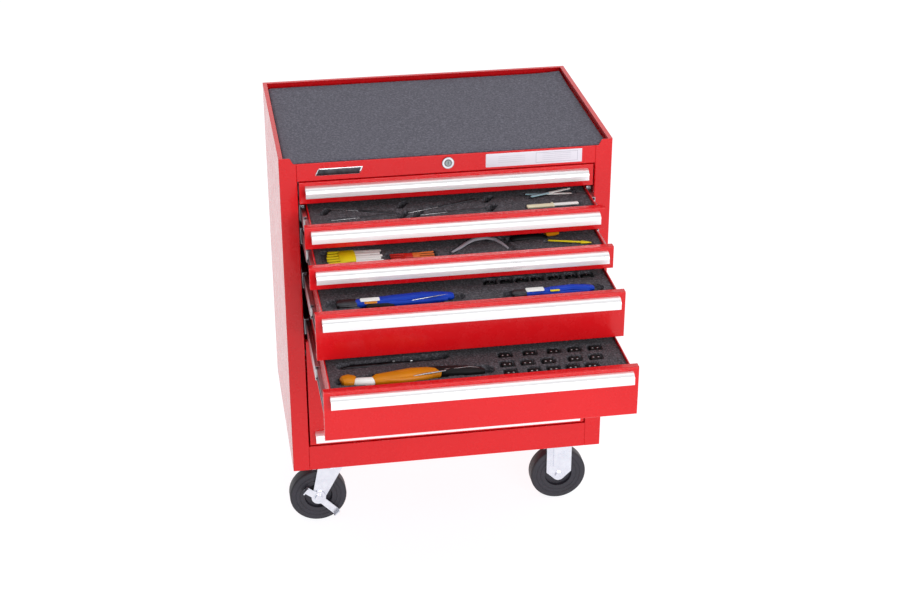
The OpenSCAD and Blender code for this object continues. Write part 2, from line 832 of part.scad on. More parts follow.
// one leg of a rigid fork: ears at the plate, straight sides and a blunt tip under the axle
module rigid_leg() {
    ear = 42;
    ear_z = plate_z - 16;
    side = leg_top_w / 2;
    end = [0, axle_z];
    right = [side, axle_z + axle_r + 2];
    left = [-side, right[1]];
    difference() {
        union() {
            polygon([
                [-side, ear_z], [-ear, plate_z], [-ear, plate_z + 1], [ear, plate_z + 1], [ear, plate_z],
                [side, ear_z], right, touch(right, end, hub_r, -1), end, touch(left, end, hub_r, 1), left
            ]);
            translate(end) circle(hub_r);
        }
        translate(end) circle(axle_r);
    }
}

module rigid_fork() {
    rib_r = 13;
    rib_t = 3;
    rib_low = axle_z + 28;
    union() {
        caster_plate();
        for (y = [-leg_out, leg_out - leg_t]) plate_xz(y, y + leg_t) rigid_leg();
        for (y = [-leg_out - rib_t, leg_out - 0.5]) plate_xz(y, y + rib_t + 0.5) {
            translate([-rib_r, rib_low]) square([2 * rib_r, plate_z + 1 - rib_low]);
            translate([0, rib_low]) circle(rib_r);
        }
    }
}

module rigid_forks() color("silver") chest() {
    at_caster(caster_places[2]) rigid_fork();
    at_caster(caster_places[3]) rigid_fork();
}

module caster_bolts() color("silver") chest() {
    nut_t = 6;
    for (c = caster_places) at_bolts(c) {
        translate([0, 0, plate_z]) cylinder(r = bolt_r, h = plate_t + base_t + nut_t + 2);
        translate([0, 0, plate_z - bolt_head_t]) cylinder(r = bolt_r + 3, h = bolt_head_t, $fn = 6);
        translate([0, 0, caster_h + base_t]) cylinder(r = bolt_r + 3, h = nut_t, $fn = 6);
    }
    for (i = [2, 3]) at_caster(caster_places[i]) {
        rod_y(axle_r, -leg_out, leg_out, 0, axle_z);
        hex_y(axle_r + 3, -leg_out - axle_head_t, -leg_out, 0, axle_z);
        hex_y(axle_r + 3, leg_out, leg_out + axle_nut_t, 0, axle_z);
    }
}

module fork_front_left() color("silver") chest() at_caster(caster_places[0]) swivel_fork();
module fork_rear_left() color("silver") chest() at_caster(caster_places[1]) turned() swivel_fork();
module axle_front_left() color("silver") chest() at_caster(caster_places[0]) axle(-trail, leg_out);
module axle_rear_left() color("silver") chest() at_caster(caster_places[1]) turned() axle(-trail, leg_out);
module brake_front_left() color("silver") chest() at_caster(caster_places[0]) brake_lever();
module brake_rear_left() color("silver") chest() at_caster(caster_places[1]) turned() brake_lever();
module wheel_front_left() color("dimgrey") chest() at_caster(caster_places[0]) wheel(-trail);
module wheel_rear_left() color("dimgrey") chest() at_caster(caster_places[1]) turned() wheel(-trail);
module wheel_front_right() color("dimgrey") chest() at_caster(caster_places[2]) wheel(0);
module wheel_rear_right() color("dimgrey") chest() at_caster(caster_places[3]) wheel(0);

side_panel_left();
side_panel_right();
back_panel();
top_pan();
base_pan();
top_rail();
bottom_rail();
slide_posts();
slide_channels();
top_mat();
drawer_1_tray();
drawer_1_front();
drawer_1_pull();
drawer_1_foam();
drawer_1_runners();
drawer_1_mid_slides();
drawer_2_tray();
drawer_2_front();
drawer_2_pull();
drawer_2_foam();
drawer_2_runners();
drawer_2_mid_slides();
drawer_3_tray();
drawer_3_front();
drawer_3_pull();
drawer_3_foam();
drawer_3_runners();
drawer_3_mid_slides();
drawer_4_tray();
drawer_4_front();
drawer_4_pull();
drawer_4_foam();
drawer_4_runners();
drawer_4_mid_slides();
drawer_5_tray();
drawer_5_front();
drawer_5_pull();
drawer_5_foam();
drawer_5_runners();
drawer_5_mid_slides();
door_panel();
door_pull();
door_carriage();
door_tracks();
lock_housing();
lock_plug();
lock_bar();
swivel_plates();
fork_front_left();
fork_rear_left();
axle_front_left();
axle_rear_left();
brake_front_left();
brake_rear_left();
rigid_forks();
caster_bolts();
wheel_front_left();
wheel_rear_left();
wheel_front_right();
wheel_rear_right();
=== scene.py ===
import math

import bmesh
import bpy
import numpy as np
from mathutils import Matrix, Vector, noise


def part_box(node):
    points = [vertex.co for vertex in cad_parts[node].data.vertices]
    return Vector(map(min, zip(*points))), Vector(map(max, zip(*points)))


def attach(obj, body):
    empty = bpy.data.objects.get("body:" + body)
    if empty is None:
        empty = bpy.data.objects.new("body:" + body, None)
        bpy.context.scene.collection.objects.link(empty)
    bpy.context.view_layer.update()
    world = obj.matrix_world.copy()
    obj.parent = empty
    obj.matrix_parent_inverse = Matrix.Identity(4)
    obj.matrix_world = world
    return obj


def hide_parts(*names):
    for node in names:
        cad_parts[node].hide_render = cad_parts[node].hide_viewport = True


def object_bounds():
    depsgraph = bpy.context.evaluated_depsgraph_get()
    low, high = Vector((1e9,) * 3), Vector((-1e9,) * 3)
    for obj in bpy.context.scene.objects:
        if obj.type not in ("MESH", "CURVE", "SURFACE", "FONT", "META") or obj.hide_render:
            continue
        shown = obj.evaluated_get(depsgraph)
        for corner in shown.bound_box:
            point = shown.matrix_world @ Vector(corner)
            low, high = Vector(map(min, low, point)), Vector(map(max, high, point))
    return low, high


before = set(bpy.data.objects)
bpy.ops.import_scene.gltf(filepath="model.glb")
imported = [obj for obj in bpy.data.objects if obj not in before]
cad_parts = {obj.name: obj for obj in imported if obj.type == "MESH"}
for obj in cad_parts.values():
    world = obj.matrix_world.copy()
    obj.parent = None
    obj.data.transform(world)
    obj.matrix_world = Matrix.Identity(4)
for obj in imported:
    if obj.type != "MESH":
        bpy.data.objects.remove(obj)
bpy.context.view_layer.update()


MM = 0.001
UP = Vector((0, 0, 1))
SMOOTH_ANGLE = math.radians(34)  # edges sharper than this stay sharp
JOIN = 1e-6  # corners closer than this are one
LOCK_RADIUS = 0.0125  # of the lock's flange


# ---------------------------------------------------------------- materials


class Level:
    """A shader value that adds, scales and compares like a number."""

    def __init__(self, finish, socket):
        self.finish = finish
        self.socket = socket

    def maths(self, operation, first, second=0.0):
        return self.finish.node("ShaderNodeMath", {"operation": operation}, {0: first, 1: second})

    def __add__(self, other):
        return self.maths("ADD", self, other)

    __radd__ = __add__

    def __mul__(self, other):
        return self.maths("MULTIPLY", self, other)

    __rmul__ = __mul__

    def __sub__(self, other):
        return self.maths("SUBTRACT", self, other)

    def __rsub__(self, other):
        return self.maths("SUBTRACT", other, self)

    def __truediv__(self, other):
        return self.maths("DIVIDE", self, other)

    def __rtruediv__(self, other):
        return self.maths("DIVIDE", other, self)

    def __pow__(self, other):
        return self.maths("POWER", self, other)

    def __gt__(self, other):
        return self.maths("GREATER_THAN", self, other)

    def __lt__(self, other):
        return self.maths("LESS_THAN", self, other)

    def __abs__(self):
        return self.maths("ABSOLUTE", self)


class Finish:
    """One node material, read in object coordinates."""

    def __init__(self, name):
        self.material = bpy.data.materials.new(name)
        self.material.use_nodes = True
        self.tree = self.material.node_tree
        self.tree.nodes.clear()
        self.place = self.node("ShaderNodeTexCoord", output="Object")

    def feed(self, socket, value):
        if isinstance(value, Level):
            self.tree.links.new(value.socket, socket)
        else:
            socket.default_value = value

    def node(self, kind, settings=None, inputs=None, output=0):
        """Adds any node: its settings, then its inputs, each a constant or a Level."""
        made = self.tree.nodes.new(kind)
        for key, value in (settings or {}).items():
            setattr(made, key, value)
        for key, value in (inputs or {}).items():
            self.feed(made.inputs[key], value)
        return Level(self, made.outputs[output]) if made.outputs else None

    def stretched(self, scale):
        return self.node("ShaderNodeMapping", {}, {"Vector": self.place, "Scale": scale})

    def noise(self, scale, detail=2.0, rough=0.5, stretch=None):
        where = self.stretched(stretch) if stretch else self.place
        return self.node(
            "ShaderNodeTexNoise",
            {},
            {"Vector": where, "Scale": scale, "Detail": detail, "Roughness": rough},
            "Fac",
        )

    def cells(self, scale):
        return self.node(
            "ShaderNodeTexVoronoi", {}, {"Vector": self.place, "Scale": scale}, "Distance"
        )

    def ramp(self, value, low, high, start=0.0, end=1.0):
        """value, taken from start…end to low…high and held there."""
        return self.node(
            "ShaderNodeMapRange",
            {"clamp": True},
            {"Value": value, "From Min": start, "From Max": end, "To Min": low, "To Max": high},
        )

    def mix(self, factor, first, second):
        sockets = {0: factor, 6: first, 7: second}
        return self.node("ShaderNodeMix", {"data_type": "RGBA"}, sockets, 2)

    def sine(self, value):
        return self.node("ShaderNodeMath", {"operation": "SINE"}, {0: value})

    def axis(self, letter):
        return self.node("ShaderNodeSeparateXYZ", {}, {0: self.place}, letter)

    def radius(self, x, z):
        """The distance from an axis that runs along Y through x and z."""
        across = self.axis("X") - x
        above = self.axis("Z") - z
        return (across * across + above * above) ** 0.5

    def surface(
        self, base, roughness, metallic=0.0, height=None, depth=0.0002, strength=0.5, **more
    ):
        """Ends the material. depth is the height's, in metres. more names the shader's other
        sockets."""
        sockets = {"Base Color": base, "Roughness": roughness, "Metallic": metallic}
        for key, value in more.items():
            sockets[key.replace("_", " ").title().replace("Ior", "IOR")] = value
        if height is not None:
            relief = {"Strength": strength, "Distance": depth, "Height": height}
            sockets["Normal"] = self.node("ShaderNodeBump", {}, relief)
        shader = self.node("ShaderNodeBsdfPrincipled", {}, sockets)
        self.node("ShaderNodeOutputMaterial", {}, {"Surface": shader})
        return self.material


def paint(red, green, blue):
    """A colour as it looks on a screen, 0 to 255, as a linear colour."""
    parts = []
    for part in (red, green, blue):
        part /= 255
        parts.append(part / 12.92 if part <= 0.04045 else ((part + 0.055) / 1.055) ** 2.4)
    return (*parts, 1.0)


def enamel():
    f = Finish("enamel_red")
    cloud = f.noise(2.6, 3.0)
    peel = f.noise(620, 2.0)
    waves = f.noise(5.0, 1.0)
    scuff = f.noise(38, 7.0, 0.7)
    base = f.mix(f.ramp(cloud, 0, 1, 0.35, 0.65), paint(212, 14, 22), paint(222, 18, 26))
    base = f.mix(f.ramp(scuff, 0, 0.1, 0.64, 0.8), base, paint(236, 92, 90))
    return f.surface(
        base,
        f.ramp(scuff, 0.2, 0.36, 0.35, 0.75),
        height=peel * 0.12 + waves * 5.0,
        depth=0.0002,
        strength=0.5,
        ior=1.36,
        coat_weight=0.3,
        coat_ior=1.38,
        coat_roughness=0.05,
    )


def brushed(name, low, high, rough, run=(0.012, 1.0, 1.0), metallic=1.0, depth=0.00006):
    """Metal with fine lines along the axis that run squeezes."""
    f = Finish(name)
    lines = f.noise(1500, 3.0, 0.6, stretch=run)
    cloud = f.noise(11, 3.0)
    tone = f.ramp(lines * 0.6 + cloud * 0.4, 0, 1, 0.3, 0.7)
    return f.surface(
        f.mix(tone, low, high),
        f.ramp(lines * 0.5 + cloud * 0.5, rough[0], rough[1], 0.3, 0.7),
        metallic,
        height=lines,
        depth=depth,
        strength=0.4,
    )


def plated(name, low, high, rough, grain=85.0):
    """Zinc or chrome plate: soft clouds, small handling marks."""
    f = Finish(name)
    cloud = f.noise(grain, 4.0, 0.6)
    marks = f.noise(420, 3.0, 0.7)
    return f.surface(
        f.mix(f.ramp(cloud, 0, 1, 0.3, 0.7), low, high),
        f.ramp(cloud * 0.6 + marks * 0.4, rough[0], rough[1], 0.3, 0.7),
        1.0,
        height=marks * 0.5 + cloud * 0.5,
        depth=0.00012,
        strength=0.35,
    )


def cellular(name, dark, light, speck, size, depth=0.0007, spread=0.5):
    """Closed-cell foam: round cells with darker pits and pale flecks."""
    f = Finish(name)
    pits = f.cells(size)
    grain = f.noise(size * 1.7, 3.0, 0.7)
    blotch = f.noise(size * 0.42, 4.0, 0.75)
    tone = f.ramp(pits * 0.7 + grain * spread, 0, 1, 0.3, 0.85)
    base = f.mix(tone, dark, light)
    base = f.mix(f.ramp(blotch, 0.0, 0.8, 0.5, 0.66), base, speck)
    base = f.mix(f.ramp(blotch, 0.75, 0.0, 0.33, 0.48), base, dark)
    base = f.mix(f.ramp(grain, 0, 0.6, 0.63, 0.72), base, speck)
    relief = grain * 0.5 - pits
    return f.surface(base, 0.92, height=relief, depth=depth, strength=0.7, sheen_weight=0.05)


def moulded(name, colour, rough=0.38, shade=0.75, gloss=0.35):
    """Moulded plastic: faint flow marks and a fine spark-eroded grain."""
    f = Finish(name)
    flow = f.noise(22, 2.0)
    grain = f.noise(1900, 2.0)
    deep = tuple(part * shade for part in colour[:3]) + (1.0,)
    return f.surface(
        f.mix(f.ramp(flow, 0, 0.6, 0.35, 0.65), colour, deep),
        f.ramp(flow, rough - 0.05, rough + 0.08, 0.3, 0.7),
        height=grain,
        depth=0.00008,
        strength=0.35,
        specular_ior_level=gloss,
    )


RINGS_PER_METRE = 5200  # in radians


def wheel_rubber(name, centre):
    """Slate rubber with turning rings about the wheel's own axis."""
    f = Finish(name)
    radius = f.radius(centre.x, centre.z)
    rings = f.sine(radius * RINGS_PER_METRE)
    cloud = f.noise(36, 5.0, 0.65)
    dust = f.noise(240, 4.0, 0.7)
    tread = f.ramp(radius, 0, 1, 0.0585, 0.0605)
    base = f.mix(f.ramp(cloud, 0, 1, 0.35, 0.7), paint(34, 33, 42), paint(45, 44, 55))
    base = f.mix(tread * 0.7, base, paint(30, 29, 35))
    base = f.mix(f.ramp(dust, 0, 0.25, 0.6, 0.75), base, paint(104, 101, 110))
    return f.surface(
        base,
        f.ramp(cloud, 0.42, 0.6, 0.3, 0.7),
        height=rings * 0.2 + dust * 0.3,
        depth=0.00018,
        strength=0.45,
    )


def turned_chrome():
    """Chrome whose face has painted shade in a dark groove round the key plug and at the flange's
    rim, and a duller plug.
    """
    f = Finish("lock_chrome")
    low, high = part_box("lock_housing")
    radius = f.radius((low[0] + high[0]) / 2, high[2] - LOCK_RADIUS)
    cloud = f.noise(60, 3.0, 0.6)
    marks = f.noise(420, 3.0, 0.7)
    # painted shade: a dark ring where the groove round the key plug would hold shade
    groove = f.ramp(radius, 0, 1, 0.0058, 0.0062) * f.ramp(radius, 1, 0, 0.0076, 0.0084)
    # painted shade: the flange's rim darkened
    rim = f.ramp(radius, 0, 1, 0.0112, 0.0122)
    plug = f.ramp(radius, 1, 0, 0.0058, 0.0062)
    base = f.mix(f.ramp(cloud, 0, 1, 0.3, 0.7), paint(208, 209, 213), paint(232, 233, 236))
    base = f.mix(plug, base, paint(150, 158, 158))
    # one dark colour for the painted shade in the groove and at the flange's rim
    base = f.mix(groove * 0.85 + rim * 0.6, base, paint(58, 46, 50))
    rough = f.ramp(marks, 0.14, 0.26, 0.3, 0.7)
    return f.surface(base, rough, 1.0, height=marks * 0.5, depth=0.00008, strength=0.3)


ENAMEL = enamel()
PULL = brushed(
    "aluminium_satin",
    paint(244, 244, 246),
    paint(252, 252, 253),
    (0.26, 0.36),
    metallic=0.6,
    depth=0.00002,
)
SLIDE = brushed(
    "slide_steel", paint(178, 180, 186), paint(216, 218, 222), (0.24, 0.38), run=(1.0, 0.015, 1.0)
)
ZINC = plated("zinc_bright", paint(216, 220, 230), paint(232, 235, 242), (0.24, 0.34), grain=60.0)
LOCK = turned_chrome()
CHROME = plated("chrome", paint(208, 209, 213), paint(232, 233, 236), (0.08, 0.16), grain=60.0)
FOAM = cellular("foam_charcoal", paint(24, 23, 27), paint(78, 76, 83), paint(122, 119, 128), 560.0)
MAT = cellular(
    "mat_grey", paint(66, 65, 76), paint(98, 97, 110), paint(124, 122, 136), 480.0, depth=0.0004
)
BLUE = moulded("plastic_blue", paint(0, 60, 188), 0.4, gloss=0.2)
AMBER = moulded("plastic_amber", paint(216, 132, 6), 0.34, 0.85, gloss=0.25)
YELLOW = moulded("plastic_yellow", paint(246, 222, 20), 0.42)
WHITE = moulded("plastic_white", paint(246, 246, 244), 0.42, 0.96)
CREAM = moulded("plastic_cream", paint(236, 228, 196), 0.42, 0.9)
PALE_BLUE = moulded("plastic_pale_blue", paint(176, 214, 226), 0.4, 0.88)
RED_PLASTIC = moulded("plastic_red", paint(206, 34, 26), 0.4)
ORANGE = moulded("plastic_orange", paint(240, 122, 52), 0.42)
BLACK = moulded("plastic_black", paint(20, 20, 22), 0.55, gloss=0.2)
GREY_GRIP = moulded("grip_grey", paint(168, 166, 176), 0.4, gloss=0.4)
STEEL = plated("tool_steel", paint(170, 172, 176), paint(206, 208, 212), (0.2, 0.34), grain=140.0)
DARK_STEEL = plated(
    "blackened_steel", paint(52, 52, 56), paint(78, 78, 82), (0.32, 0.46), grain=140.0
)


# ------------------------------------------------------------------ shapes


def corners(node):
    low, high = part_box(node)
    return Vector(low), Vector(high)


def fresh_verts(made):
    return [item for item in made if isinstance(item, bmesh.types.BMVert)]


def build(name, bm, material, body):
    """Turns a bmesh in metres into a finished piece that rides on a body."""
    bmesh.ops.recalc_face_normals(bm, faces=bm.faces)
    mesh = bpy.data.meshes.new(name)
    bm.to_mesh(mesh)
    bm.free()
    mesh.shade_smooth()
    mesh.set_sharp_from_angle(angle=SMOOTH_ANGLE)
    mesh.materials.append(material)
    piece = bpy.data.objects.new(name, mesh)
    bpy.context.scene.collection.objects.link(piece)
    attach(piece, body)
    return piece


BOXINESS = 0.72  # how far a fully square loft goes from round to boxy


def loft(bm, sections, sides=14, square=0.0):
    """A closed skin through rings. Each section is a centre, a half width and a half height, in
    metres; square goes from 0, round, towards 1, boxy."""
    centres = [Vector(section[0]) for section in sections]
    disc = bmesh.ops.create_circle(bm, cap_ends=True, segments=sides, radius=1.0)
    first_face = disc["verts"][0].link_faces[0]
    edges, ring = list(first_face.edges), list(first_face.verts)
    power = 1.0 - BOXINESS * square
    last = len(sections) - 1
    for step, (_, wide, tall) in enumerate(sections):
        along = (centres[min(step + 1, last)] - centres[max(step - 1, 0)]).normalized()
        side = along.cross(UP).normalized() if abs(along.z) < 0.95 else Vector((1, 0, 0))
        top = side.cross(along).normalized()
        if step:
            fresh = fresh_verts(bmesh.ops.extrude_edge_only(bm, edges=edges)["geom"])
            ring = [
                next(e.other_vert(vert) for e in vert.link_edges if e.other_vert(vert) in fresh)
                for vert in ring
            ]
            edges = [
                next(e for e in a.link_edges if e.other_vert(a) is b)
                for a, b in zip(ring, ring[1:] + ring[:1])
            ]
        for count, vert in enumerate(ring):
            turn = 2 * math.pi * (count + 0.5) / sides
            flat, rise = math.cos(turn), math.sin(turn)
            flat = math.copysign(abs(flat) ** power, flat)
            rise = math.copysign(abs(rise) ** power, rise)
            vert.co = centres[step] + side * flat * wide + top * rise * tall
    bmesh.ops.contextual_create(bm, geom=edges)


def lathe(bm, outline, centre, steps=64):
    """Spins a closed outline of (radius, along) points, in millimetres, about an axis that runs
    along Y through centre."""
    tilt = Matrix.Rotation(math.radians(-90), 3, "X")
    verts = []
    for radius, along in outline:
        verts.append(bm.verts.new(centre + tilt @ Vector((radius * MM, 0, along * MM))))
    edges = [bm.edges.new(pair) for pair in zip(verts, verts[1:])]
    edges.append(bm.edges.new((verts[-1], verts[0])))
    bmesh.ops.spin(
        bm,
        geom=verts + edges,
        cent=centre,
        axis=tilt @ UP,
        angle=2 * math.pi,
        steps=steps,
        use_merge=True,
    )
    bmesh.ops.remove_doubles(bm, verts=bm.verts, dist=JOIN)


def slab(bm, outline, low, high, edge=0.0004, segments=2):
    """A flat plate: an outline of (x, y) in metres between two heights, its rims rounded."""
    verts = [bm.verts.new((x, y, low)) for x, y in outline]
    face = bm.faces.new(verts)
    top = fresh_verts(bmesh.ops.extrude_face_region(bm, geom=[face])["geom"])
    bmesh.ops.translate(bm, verts=top, vec=(0, 0, high - low))
    group = set(verts) | set(top)
    rims = [e for e in {e for v in group for e in v.link_edges} if all(v in group for v in e.verts)]
    bmesh.ops.bevel(
        bm,
        geom=rims,
        offset=edge,
        offset_type="OFFSET",
        segments=segments,
        profile=0.5,
        affect="EDGES",
        material=-1,
    )


def rounded(x0, y0, x1, y1, radius, steps=5):
    """The outline of a rounded rectangle."""
    points = []
    for cx, cy, start in (
        (x1 - radius, y1 - radius, 0),
        (x0 + radius, y1 - radius, 90),
        (x0 + radius, y0 + radius, 180),
        (x1 - radius, y0 + radius, 270),
    ):
        for step in range(steps + 1):
            turn = math.radians(start + 90 * step / steps)
            points.append((cx + radius * math.cos(turn), cy + radius * math.sin(turn)))
    return points


# ------------------------------------------------------------- CAD surfaces

NODE_FINISH = {
    "red_enamel": ENAMEL,
    "pull": PULL,
    "slide": SLIDE,
    "zinc": ZINC,
    "lock": LOCK,
    "wheel": ZINC,
}
SOFT_EDGES = {
    "_pull": 0.0005,
    "_tray": 0.00045,
    "_front": 0.0007,
    "side_panel": 0.0002,
    "rail": 0.0002,
}
DEFAULT_SOFT_EDGE = 0.0003
SHARP_EDGE = math.radians(38)
REPLACED = ("foam", "mat", "wheel_")  # these nodes get a finished piece instead

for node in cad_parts:
    if any(word in node for word in REPLACED):
        continue
    piece = bpy.data.objects[node]
    kind = piece.data.materials[0].name.split(".")[0] if piece.data.materials else "slide"
    for place in range(len(piece.data.materials)):
        piece.data.materials[place] = NODE_FINISH.get(kind, SLIDE)
    widths = [value for word, value in SOFT_EDGES.items() if word in node]
    weld = piece.modifiers.new("join", "WELD")
    weld.merge_threshold = JOIN
    bevel = piece.modifiers.new("edges", "BEVEL")
    bevel.width = widths[0] if widths else DEFAULT_SOFT_EDGE
    bevel.segments = 2
    bevel.limit_method = "ANGLE"
    bevel.angle_limit = SHARP_EDGE
    bevel.use_clamp_overlap = True
    bevel.harden_normals = False
    level = piece.modifiers.new("normals", "WEIGHTED_NORMAL")
    level.keep_sharp = True


# -------------------------------------------------------------------- foam


def capsule(x, y, x0, y0, x1, y1, radius):
    """How far each spot lies outside a slot with round ends."""
    along = np.array((x1 - x0, y1 - y0), float)
    length = max(float(along @ along), 1e-9)
    t = np.clip(((x - x0) * along[0] + (y - y0) * along[1]) / length, 0, 1)
    return np.hypot(x - x0 - t * along[0], y - y0 - t * along[1]) - radius


def panel(x, y, cx, cy, half_x, half_y, radius):
    """How far each spot lies outside a rounded rectangle."""
    dx = np.abs(x - cx) - half_x + radius
    dy = np.abs(y - cy) - half_y + radius
    beyond = np.hypot(np.maximum(dx, 0), np.maximum(dy, 0))
    return beyond + np.minimum(np.maximum(dx, dy), 0) - radius


POCKETS = {"capsule": capsule, "panel": panel}
POCKET_WALL = 2.2  # millimetres across the slope at a pocket's rim


def cushion(
    name, low, high, pockets, cell, body, material, round_edge=0.0014, swell=0.0003, lift=None
):
    """A sheet of foam between two corners, its upper face cut by pockets. A pocket is a shape, its
    numbers in millimetres from the middle of the front edge, and its depth. lift gives a rise in
    metres at a spot measured from the sheet's middle."""
    size = high - low
    middle = (low + high) / 2
    bm = bmesh.new()
    bmesh.ops.create_grid(
        bm, x_segments=round(size.x / cell), y_segments=round(size.y / cell), size=0.5
    )
    spots = np.array([vert.co[:2] for vert in bm.verts]) * np.array((size.x, size.y))
    x, y = spots[:, 0] / MM, (spots[:, 1] + size.y / 2) / MM
    drop = np.zeros(len(spots))
    for shape, numbers, depth in pockets:
        gap = POCKETS[shape](x, y, *numbers)
        wall = np.clip(0.5 - gap / POCKET_WALL, 0, 1)
        wall = wall * wall * (3 - 2 * wall)
        drop = np.maximum(drop, wall * depth)
    rim = np.minimum(size.x / 2 - np.abs(spots[:, 0]), size.y / 2 - np.abs(spots[:, 1]))
    over = np.clip(1 - rim / round_edge, 0, 1)
    soft = round_edge * (1 - np.sqrt(np.clip(1 - over * over, 0, 1)))
    for vert, (px, py), sink, fall in zip(bm.verts, spots, drop, soft):
        wave = swell * (noise.noise(Vector((px * 9, py * 9, len(name)))) - 0.6)
        rise = lift(px, py) if lift else 0.0
        vert.co = Vector((middle.x + px, middle.y + py, high.z + wave - sink * MM - fall + rise))
    border = [edge for edge in bm.edges if edge.is_boundary]
    made = bmesh.ops.extrude_edge_only(bm, edges=border)["geom"]
    under = [item for item in made if isinstance(item, bmesh.types.BMEdge)]
    for vert in fresh_verts(made):
        rise = lift(vert.co.x - middle.x, vert.co.y - middle.y) if lift else 0.0
        vert.co.z = low.z + rise
    bmesh.ops.contextual_create(bm, geom=[edge for edge in under if edge.is_boundary])
    piece = build(name, bm, material, body)
    return piece


FOAM_CELL = 0.0024  # between the foam's mesh lines


class Drawer:
    """Places things by millimetres from the middle of a drawer front's face, above its foam."""

    def __init__(self, number):
        self.body = f"drawer_{number}"
        self.foam = f"drawer_{number}_foam"
        low, high = corners(f"drawer_{number}_front")
        self.low, self.high = corners(self.foam)
        self.origin = Vector(((low.x + high.x) / 2, low.y, self.high.z))
        self.pockets = []

    def at(self, x, y, z=0.0):
        return self.origin + Vector((x, y, z)) * MM

    def into(self, y):
        """y from the front's face, as y from the foam's front edge."""
        return y - (self.low.y - self.origin.y) / MM

    def slot_line(self, x0, y0, x1, y1, radius, depth):
        """A straight slot with round ends."""
        self.pockets.append(("capsule", (x0, self.into(y0), x1, self.into(y1), radius), depth))

    def well(self, cx, cy, half_x, half_y, depth, radius=3.0):
        """A rectangular pocket."""
        self.pockets.append(("panel", (cx, self.into(cy), half_x, half_y, radius), depth))

    def thing(self, name, material, parts):
        """parts are lofts: each a list of (x, y, z, half width, half height) in millimetres, with
        its sides and squareness."""
        bm = bmesh.new()
        for path, sides, square in parts:
            rings = [(self.at(x, y, z), wide * MM, tall * MM) for x, y, z, wide, tall in path]
            loft(bm, rings, sides, square)
        return build(f"{self.body}_{name}", bm, material, self.body)

    def close(self):
        """Makes the foam, once all its pockets are known."""
        name = f"{self.foam}_insert"
        piece = cushion(name, self.low, self.high, self.pockets, FOAM_CELL, self.body, FOAM)
        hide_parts(self.foam)


def bar(x0, y0, x1, y1, wide, tall, z=0.0, end=0.6, square=0.7, sides=12):
    """A straight bar with rounded ends."""
    dx, dy = x1 - x0, y1 - y0
    length = math.hypot(dx, dy)
    ux, uy = dx / length, dy / length
    return (
        [
            (x0, y0, z, wide * 0.6, tall * 0.6),
            (x0 + ux * end, y0 + uy * end, z, wide, tall),
            (x1 - ux * end, y1 - uy * end, z, wide, tall),
            (x1, y1, z, wide * 0.6, tall * 0.6),
        ],
        sides,
        square,
    )


def taper(points, sides=12, square=0.3):
    """A part through points of (x, y, z, half width, half height)."""
    return (points, sides, square)


# drawer 1: a plain sheet of foam
d1 = Drawer(1)
d1.close()

# drawer 2: picks in thin slots, plastic insertion tools at the right
d2 = Drawer(2)
picks = [(-250, 107, -112, 62), (-250, 48, -112, 58), (-92, 60, 60, 104), (-70, 46, 66, 56)]
for x0, y0, x1, y1 in picks:
    d2.slot_line(x0, y0, x1, y1, 3.2, 7)
for x, y in ((-254, 91), (-97, 100), (-100, 51), (-72, 49), (81, 101), (81, 55)):
    d2.slot_line(x - 6, y - 10, x + 6, y + 10, 6.5, 22)
SHAFT_SHARE = 0.45  # of a pick's length
for number, (x0, y0, x1, y1) in enumerate(picks):
    mx, my = x0 + (x1 - x0) * SHAFT_SHARE, y0 + (y1 - y0) * SHAFT_SHARE
    shaft = bar(x0 + 3, y0, mx, my, 0.8, 0.8, -1.6, square=0, sides=10)
    d2.thing(f"pick_{number}_shaft", STEEL, [shaft])
    handle = [
        (mx - 1, my, -1.5, 1.2, 1.2),
        (mx + 4, my, -1.5, 2.6, 2.6),
        (x1 - 6, y1, -1.5, 2.8, 2.8),
        (x1, y1, -1.5, 1.6, 1.6),
    ]
    d2.thing(f"pick_{number}_handle", DARK_STEEL, [taper(handle, 12, 0.0)])
d2.slot_line(160, 112, 260, 108, 8, 5)
d2.slot_line(166, 92, 262, 122, 6, 5)
d2.well(207, 48, 60, 9, 6, 6)


def strip(x0, y0, x1, y1, start, end, base, girth):
    """Part of a flat plastic tool, from start to end of its length, waisted at the middle."""
    path = []
    for share in (0.0, 0.08, 0.35, 0.6, 0.92, 1.0):
        t = start + (end - start) * share
        at_end = share in (0.0, 1.0)
        wide = girth * (0.45 if at_end else 1.0 - 0.25 * abs(t - 0.5))
        spot = (x0 + (x1 - x0) * t, y0 + (y1 - y0) * t, base)
        path.append((*spot, wide, 0.8 if at_end else 1.2))
    return taper(path, 12, 0.6)


for name, ends, base in (("a", (170, 93, 259, 123), 1.9), ("b", (162, 113, 258, 102), -0.8)):
    d2.thing(f"insertion_tool_{name}_blue", PALE_BLUE, [strip(*ends, 0.0, 0.47, base, 3.6)])
    d2.thing(f"insertion_tool_{name}_white", WHITE, [strip(*ends, 0.44, 1.0, base, 3.6)])
d2.thing(
    "insertion_tool_c",
    CREAM,
    [
        bar(152, 47, 208, 47.8, 7.0, 2.4, 0.0, end=1.2),
        bar(203, 49, 209, 49, 9.5, 2.8, 0.0, end=1.0),
    ],
)
d2.thing("insertion_tool_c_blade", WHITE, [bar(206, 48.5, 260, 49, 5.6, 1.6, 0.6, end=1.2)])
d2.close()

